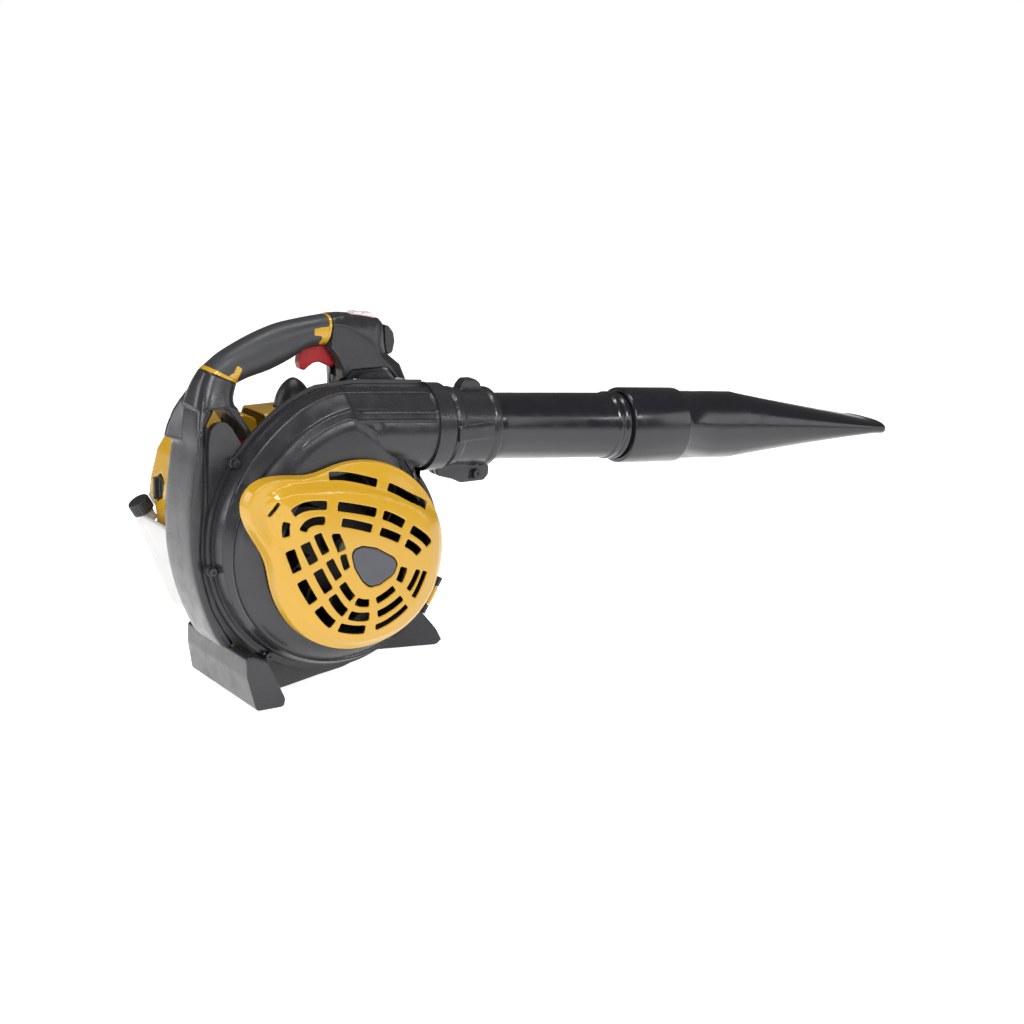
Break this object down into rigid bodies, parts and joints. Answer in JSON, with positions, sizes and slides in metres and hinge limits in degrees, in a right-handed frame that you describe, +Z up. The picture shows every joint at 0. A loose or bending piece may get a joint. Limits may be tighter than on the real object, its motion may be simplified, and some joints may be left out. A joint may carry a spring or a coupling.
{
  "type": "hand-held leaf blower",
  "caption": "Hand-held petrol leaf blower with a round fan housing, arched handle, slotted intake grille and a straight blowing tube ending in a flat nozzle.",
  "frame": {"origin": "middle of the rear foot's sole, under the handle's plane", "axes": "+X forwards along the blowing tube, +Y from the intake side to the engine side, +Z up from the ground the feet stand on"},
  "size_m": [0.8547, 0.2391, 0.3822],
  "materials": {
    "housing_plastic": "satin moulded nylon",
    "yellow_plastic": "glossy moulded",
    "tube_plastic": "glossy moulded",
    "grip_rubber": "soft matt",
    "red_plastic": "semi-gloss",
    "black_plastic": "satin",
    "tank_plastic": "translucent milky",
    "badge_plastic": "satin",
    "steel": "plain",
    "cast_aluminium": "as cast",
    "filter_foam": "open foam",
    "black_rubber": "matt",
    "primer_plastic": "translucent"
  },
  "bodies": {
    "housing": {"volute_intake_half": "housing_plastic", "volute_engine_half": "housing_plastic", "housing_screw_1": "steel", "housing_screw_2": "steel", "housing_screw_3": "steel", "grille_hinge_pin": "steel", "grille_latch": "black_plastic", "outlet_collar": "housing_plastic", "collar_screw": "steel", "upper_tube": "tube_plastic", "handle_frame_left": "housing_plastic", "handle_frame_right": "housing_plastic", "handle_grip": "grip_rubber", "accent_ring_rear": "yellow_plastic", "accent_ring_front": "yellow_plastic", "trigger_pin": "steel", "rear_foot": "housing_plastic", "front_foot": "housing_plastic", "base_plate": "housing_plastic", "isolator_rear": "black_rubber", "isolator_front": "black_rubber", "isolator_top": "black_rubber", "crankcase_fan_side": "cast_aluminium", "crankcase_starter_side": "cast_aluminium", "bearing_fan_side": "steel", "bearing_starter_side": "steel", "cylinder": "cast_aluminium", "spark_plug": "steel", "spark_plug_cap": "black_plastic", "ignition_coil": "black_plastic", "ignition_lead": "black_rubber", "engine_cowl": "yellow_plastic", "muffler": "steel", "muffler_guard": "black_plastic", "carburettor": "cast_aluminium", "air_filter": "filter_foam", "air_filter_cover": "yellow_plastic", "fuel_tank": "tank_plastic", "fuel_line": "black_rubber", "throttle_cable": "black_rubber", "starter_housing": "housing_plastic"},
    "rotor": {"crankshaft": "steel", "flywheel": "cast_aluminium", "impeller": "black_plastic"},
    "piston_set": {"piston": "cast_aluminium", "piston_rod": "steel"},
    "trigger_lever": {"trigger": "red_plastic"},
    "throttle_arm": {"throttle_lever": "steel"},
    "stop_switch": {"kill_switch": "red_plastic"},
    "cruise_arm": {"cruise_lever": "black_plastic"},
    "grille_door": {"intake_grille": "yellow_plastic", "grille_badge": "badge_plastic"},
    "nozzle": {"nozzle_tube": "tube_plastic"},
    "starter_grip": {"starter_handle": "black_plastic", "starter_rope": "black_rubber"},
    "starter_reel": {"starter_pulley": "black_plastic"},
    "tank_cap": {"fuel_cap": "black_plastic"},
    "primer": {"primer_bulb": "primer_plastic"},
    "choke_arm": {"choke_lever": "red_plastic"},
    "filter_knob": {"filter_cover_knob": "black_plastic"}
  },
  "joints": [
    {"name": "fan_spin", "type": "hinge", "parent": "housing", "child": "rotor", "pos_m": [0.093, 0, 0.151], "axis": [0, 1, 0], "continuous": true},
    {"name": "piston_slide", "type": "slide", "parent": "housing", "child": "piston_set", "axis": [0, 0, 1], "range_m": [-0.028, 0]},
    {"name": "trigger_pull", "type": "hinge", "parent": "housing", "child": "trigger_lever", "pos_m": [0.112, 0, 0.348], "axis": [0, 1, 0], "range_deg": [0, 14], "stiffness_Nm_per_rad": 0.3, "springref_deg": -8.59},
    {"name": "throttle_turn", "type": "hinge", "parent": "housing", "child": "throttle_arm", "pos_m": [0.054, 0.046, 0.236], "axis": [0, 0, 1], "range_deg": [-42.5, 0]},
    {"name": "stop_switch_slide", "type": "slide", "parent": "housing", "child": "stop_switch", "axis": [1, 0, 0], "range_m": [0, 0.006]},
    {"name": "cruise_turn", "type": "hinge", "parent": "housing", "child": "cruise_arm", "pos_m": [0.172, 0, 0.34], "axis": [0, 1, 0], "range_deg": [0, 35]},
    {"name": "grille_hinge", "type": "hinge", "parent": "housing", "child": "grille_door", "pos_m": [0.1753, -0.0865, 0.0962], "axis": [0.5258, 0, 0.8506], "range_deg": [0, 95]},
    {"name": "nozzle_twist", "type": "hinge", "parent": "housing", "child": "nozzle", "pos_m": [0.21, -0.04, 0.26134], "axis": [0.9949, 0, -0.1005], "range_deg": [0, 20]},
    {"name": "starter_pull", "type": "slide", "parent": "housing", "child": "starter_grip", "axis": [0.6428, 0, 0.766], "range_m": [0, 0.6], "stiffness_N_per_m": 20, "springref_m": -0.2},
    {"name": "starter_spin", "type": "hinge", "parent": "housing", "child": "starter_reel", "pos_m": [0.093, 0.108, 0.151], "axis": [0, 1, 0], "range_deg": [0, 1720]},
    {"name": "fuel_cap_turn", "type": "hinge", "parent": "housing", "child": "tank_cap", "pos_m": [-0.053, 0.112, 0.1685], "axis": [-0.5, 0, 0.866], "range_deg": [0, 360]},
    {"name": "primer_press", "type": "slide", "parent": "housing", "child": "primer", "axis": [0, 1, 0], "range_m": [0, 0.004], "stiffness_N_per_m": 400, "springref_m": -0.001},
    {"name": "choke_turn", "type": "hinge", "parent": "housing", "child": "choke_arm", "pos_m": [0.0275, 0.034, 0.2475], "axis": [0, 1, 0], "range_deg": [0, 60]},
    {"name": "filter_knob_turn", "type": "hinge", "parent": "housing", "child": "filter_knob", "pos_m": [-0.043, 0.097, 0.199], "axis": [-1, 0, 0], "range_deg": [0, 90]}
  ],
  "couplings": [
    {"joint": "throttle_turn", "follows": "trigger_pull", "ratio": -3},
    {"joint": "starter_spin", "follows": "starter_pull", "rad_per_m": 50}
  ]
}
